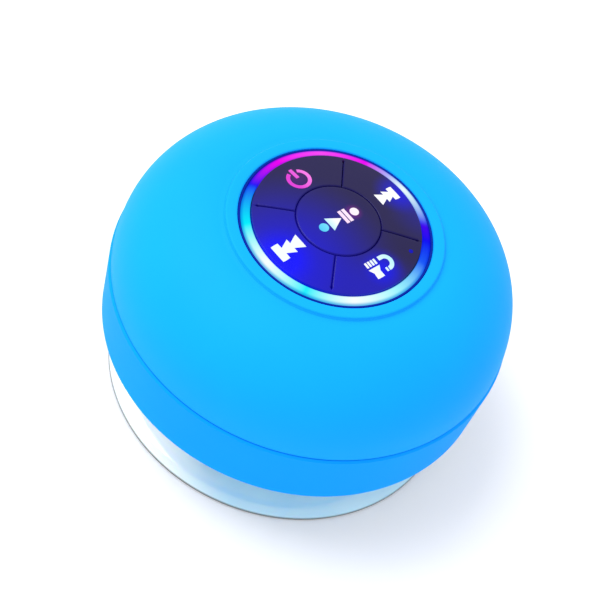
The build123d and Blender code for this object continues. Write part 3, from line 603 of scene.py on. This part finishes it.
def milky():
    """Milky soft vinyl, glossy and pale blue, with painted light that whitens it towards one side and a
    painted contact shadow at its foot.
    The painted light grows with x cos 140 + y sin 140, and the painted shadow lies on the lowest and
    outermost part of the rim."""
    material = moulded(
        "milky_vinyl", (0.52, 0.80, 0.94), (0.29, 0.63, 0.86), 0.2, 1.2, 0.0015, clouds=16.0,
        Specular_IOR_Level=1.0, Coat_Weight=1.0, Coat_Roughness=0.08,
        Subsurface_Weight=0.25, Subsurface_Scale=0.004,
    )
    nodes, links = material.node_tree.nodes, material.node_tree.links
    skin = nodes["Principled BSDF"]
    place = nodes.new("ShaderNodeTexCoord")
    side = nodes.new("ShaderNodeVectorMath")
    side.operation = "DOT_PRODUCT"
    side.inputs[1].default_value = (np.cos(PAINTED_LIGHT_ANGLE), np.sin(PAINTED_LIGHT_ANGLE), 0)
    share = nodes.new("ShaderNodeMapRange")
    share.interpolation_type = "SMOOTHSTEP"
    share.inputs["From Min"].default_value = PAINTED_LIGHT_FROM * mm
    share.inputs["From Max"].default_value = PAINTED_LIGHT_FULL * mm
    # Painted light: the base colour is mixed towards white on the lit side.
    painted_light_side = nodes.new("ShaderNodeMix")
    painted_light_side.data_type = "RGBA"
    painted_light_side.inputs["B"].default_value = (0.95, 1.0, 1.0, 1)
    axes = nodes.new("ShaderNodeSeparateXYZ")
    low = nodes.new("ShaderNodeMapRange")
    low.inputs["From Min"].default_value = CONTACT_SHADOW_Z * mm
    low.inputs["From Max"].default_value = CONTACT_SHADOW_Z * mm / 2
    outer = nodes.new("ShaderNodeMapRange")
    outer.inputs["From Min"].default_value = CONTACT_SHADOW_R * mm
    outer.inputs["From Max"].default_value = (CONTACT_SHADOW_R + CONTACT_SHADOW_BLEND) * mm
    # Painted contact shadow where the rim meets the floor.
    in_contact_shadow = nodes.new("ShaderNodeMath")
    in_contact_shadow.operation = "MULTIPLY"
    painted_contact_shadow = nodes.new("ShaderNodeMix")
    painted_contact_shadow.data_type = "RGBA"
    painted_contact_shadow.inputs["B"].default_value = (0.03, 0.045, 0.05, 1)
    links.new(place.outputs["Object"], side.inputs[0])
    links.new(side.outputs["Value"], share.inputs["Value"])
    links.new(share.outputs["Result"], painted_light_side.inputs["Factor"])
    links.new(skin.inputs["Base Color"].links[0].from_socket, painted_light_side.inputs["A"])
    links.new(place.outputs["Object"], axes.inputs["Vector"])
    links.new(axes.outputs["Z"], low.inputs["Value"])
    links.new(from_the_axis(nodes, links, place), outer.inputs["Value"])
    links.new(low.outputs["Result"], in_contact_shadow.inputs[0])
    links.new(outer.outputs["Result"], in_contact_shadow.inputs[1])
    links.new(in_contact_shadow.outputs["Value"], painted_contact_shadow.inputs["Factor"])
    links.new(painted_light_side.outputs["Result"], painted_contact_shadow.inputs["A"])
    links.new(painted_contact_shadow.outputs["Result"], skin.inputs["Base Color"])
    return material


def smooth_line(points, steps=10):
    """Catmull-Rom curve through the points: each span is the cubic of its two ends and their neighbours."""
    p = np.asarray(points, float)
    p = np.vstack([2 * p[0] - p[1], p, 2 * p[-1] - p[-2]])
    t = np.linspace(0, 1, steps, endpoint=False)[:, None]
    spans = []
    for a, b, c, d in zip(p[:-3], p[1:-2], p[2:-1], p[3:]):
        square = (2 * a - 5 * b + 4 * c - d) * t**2
        cube = (3 * b - a - 3 * c + d) * t**3
        spans.append(0.5 * (2 * b + (c - a) * t + square + cube))
    return np.vstack([*spans, p[-2:-1]])


cup_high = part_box("suction_cup")[1] / mm
HUB_TOP, HUB_R, STUD_R, HEAD_R = 14.9, 11.0, 4.1, 5.3
HEAD_LOW_Z, HEAD_HIGH_Z, HUB_ROUND, RIM_ROUND = 17.1, 17.9, 0.8, 0.3
under = smooth_line([(9.0, 5.2), (18.0, 4.0), (27.0, 2.4), (33.5, 1.0), (36.9, 0.0)])
top = smooth_line([
    (38.1, 0.32), (37.5, 1.15), (36.3, 1.95), (33.5, 3.1),
    (27.0, 4.9), (20.0, 6.7), (14.0, 8.6), (HUB_R, 10.6),
])
cup_outline = np.vstack([
    [[0, 5.6], [3.0, 5.55], [6.0, 5.4]],
    under,
    corner(cup_high.x - RIM_ROUND, RIM_ROUND, RIM_ROUND, -90, 0)[:-1],
    top,
    corner(HUB_R - HUB_ROUND, HUB_TOP - HUB_ROUND, HUB_ROUND, 0, 90),
    [[STUD_R, HUB_TOP], [STUD_R, HEAD_LOW_Z], [HEAD_R, HEAD_LOW_Z], [HEAD_R, HEAD_HIGH_Z]],
    [[HEAD_R - 1.1, cup_high.z], [0, cup_high.z]],
])
cup = turned("cup", cup_outline, milky())
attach(cup, "cup")
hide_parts("suction_cup")

# ---------------------------------------------------------------- hard shells and what they hold
# Pale ABS shells, and inside them the boards, cell, loudspeaker, wiring, seals and screws.

pale_abs = moulded("pale_abs", (0.78, 0.82, 0.86), (0.72, 0.77, 0.82), 0.42, 0.35, 0.006)
black_rubber = moulded("black_rubber", (0.02, 0.02, 0.022), (0.03, 0.03, 0.032), 0.7, 0.25, 0.006)
black_abs = moulded("black_abs", (0.02, 0.02, 0.024), (0.03, 0.03, 0.036), 0.45, 0.3, 0.005)
zinc = moulded(
    "zinc_plate", (0.60, 0.60, 0.62), (0.48, 0.49, 0.52), 0.3, 0.15, 0.002, clouds=3.0, Metallic=1.0,
)
solder_mask = moulded("solder_mask", (0.010, 0.10, 0.045), (0.016, 0.16, 0.07), 0.35, 0.8, 0.01, clouds=1.5)
led_cap = moulded("led_cap", (0.85, 0.83, 0.62), (0.9, 0.9, 0.85), 0.3, 0.2, 0.002, clouds=1.0)
pouch = moulded(
    "foil_pouch", (0.50, 0.52, 0.55), (0.42, 0.44, 0.48), 0.35, 1.5, 0.02, clouds=6.0, Metallic=0.6,
)
foam = moulded("foam", (0.05, 0.05, 0.055), (0.09, 0.09, 0.095), 0.9, 0.35, 0.05, clouds=0.6)
ferrite = moulded("ferrite", (0.045, 0.045, 0.05), (0.065, 0.065, 0.07), 0.55, 0.2, 0.01, clouds=2.0)
pulp = moulded("cone_pulp", (0.022, 0.022, 0.024), (0.04, 0.038, 0.036), 0.8, 0.2, 0.02, clouds=0.7)
copper = moulded(
    "coil_copper", (0.62, 0.25, 0.10), (0.48, 0.18, 0.07), 0.3, 0.15, 0.01, clouds=1.0, Metallic=1.0,
)
cloth = moulded("treated_cloth", (0.52, 0.38, 0.16), (0.42, 0.30, 0.12), 0.8, 0.18, 0.03, clouds=0.5)
red_jacket = moulded("wire_jacket", (0.45, 0.02, 0.02), (0.36, 0.015, 0.015), 0.4, 0.4, 0.003, clouds=4.0)

FINISHES = {
    pale_abs: ("upper_shell", "lower_shell"),
    black_rubber: ("shell_seal_ring", "driver_gasket", "usb_gasket", "cone_surround"),
    black_abs: ("key_carrier", "key_switches", "board_parts"),
    zinc: ("case_screws", "key_board_screws", "driver_screws", "main_board_screws", "driver_frame",
           "driver_front_plate", "driver_yoke", "usb_socket", "microphone"),
    solder_mask: ("key_board", "main_board"),
    led_cap: ("ring_leds",),
    pouch: ("battery",),
    foam: ("battery_pads",),
    ferrite: ("driver_magnet",),
    pulp: ("speaker_cone", "dust_cap"),
    copper: ("voice_coil",),
    cloth: ("spider", "sound_mesh"),
    red_jacket: ("battery_wires", "speaker_wires", "panel_wires"),
}
for finish, members in FINISHES.items():
    for node in members:
        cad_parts[node].data.materials.clear()
        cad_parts[node].data.materials.append(finish)
for name in (*SECTORS, "play"):
    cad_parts[name + "_plunger"].data.materials.clear()
    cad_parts[name + "_plunger"].data.materials.append(black_abs)

# ---------------------------------------------------------------- floor, light and camera
# Plain pale floor, one large soft light from the upper left and a white surround.

floor_mesh = bpy.data.meshes.new("floor")
floor_mesh.from_pydata([(-3, -3, 0), (3, -3, 0), (3, 3, 0), (-3, 3, 0)], [], [(0, 1, 2, 3)])
floor = bpy.data.objects.new("floor", floor_mesh)
bpy.context.scene.collection.objects.link(floor)
floor_paint = bpy.data.materials.new("floor_paint")
floor_paint.use_nodes = True
floor_paint.node_tree.nodes["Principled BSDF"].inputs["Base Color"].default_value = (0.97, 0.97, 0.97, 1)
floor_paint.node_tree.nodes["Principled BSDF"].inputs["Roughness"].default_value = 0.8
floor_mesh.materials.append(floor_paint)

surround = bpy.data.worlds.new("surround")
surround.use_nodes = True
surround.node_tree.nodes["Background"].inputs["Color"].default_value = (1, 1, 1, 1)
surround.node_tree.nodes["Background"].inputs["Strength"].default_value = 1.0
bpy.context.scene.world = surround
bpy.context.scene.view_settings.view_transform = "Standard"


def soft_light(name, direction, distance, size, power):
    """Square area light that faces the object from a direction."""
    lamp = bpy.data.lights.new(name, "AREA")
    lamp.shape = "SQUARE"
    lamp.size = size
    lamp.energy = power
    holder = bpy.data.objects.new(name, lamp)
    holder.location = Vector(direction).normalized() * distance
    holder.rotation_euler = (-Vector(direction)).to_track_quat("-Z", "Y").to_euler()
    bpy.context.scene.collection.objects.link(holder)


soft_light("key_light", (-0.20, 0.475, 0.85), 1.2, 0.9, 10.0)

lens = bpy.data.cameras.new("camera")
lens.lens = 137.6
lens.clip_start = 0.01
camera = bpy.data.objects.new("camera", lens)
camera.location = (-0.2600, -0.1663, 0.4041)
aim = Vector((-0.0013, 0.0008, 0.0270))
look = (aim - camera.location).to_track_quat("-Z", "Y") @ Quaternion((0, 0, 1), np.radians(21.5))
camera.rotation_euler = look.to_euler()
bpy.context.scene.collection.objects.link(camera)
bpy.context.scene.camera = camera
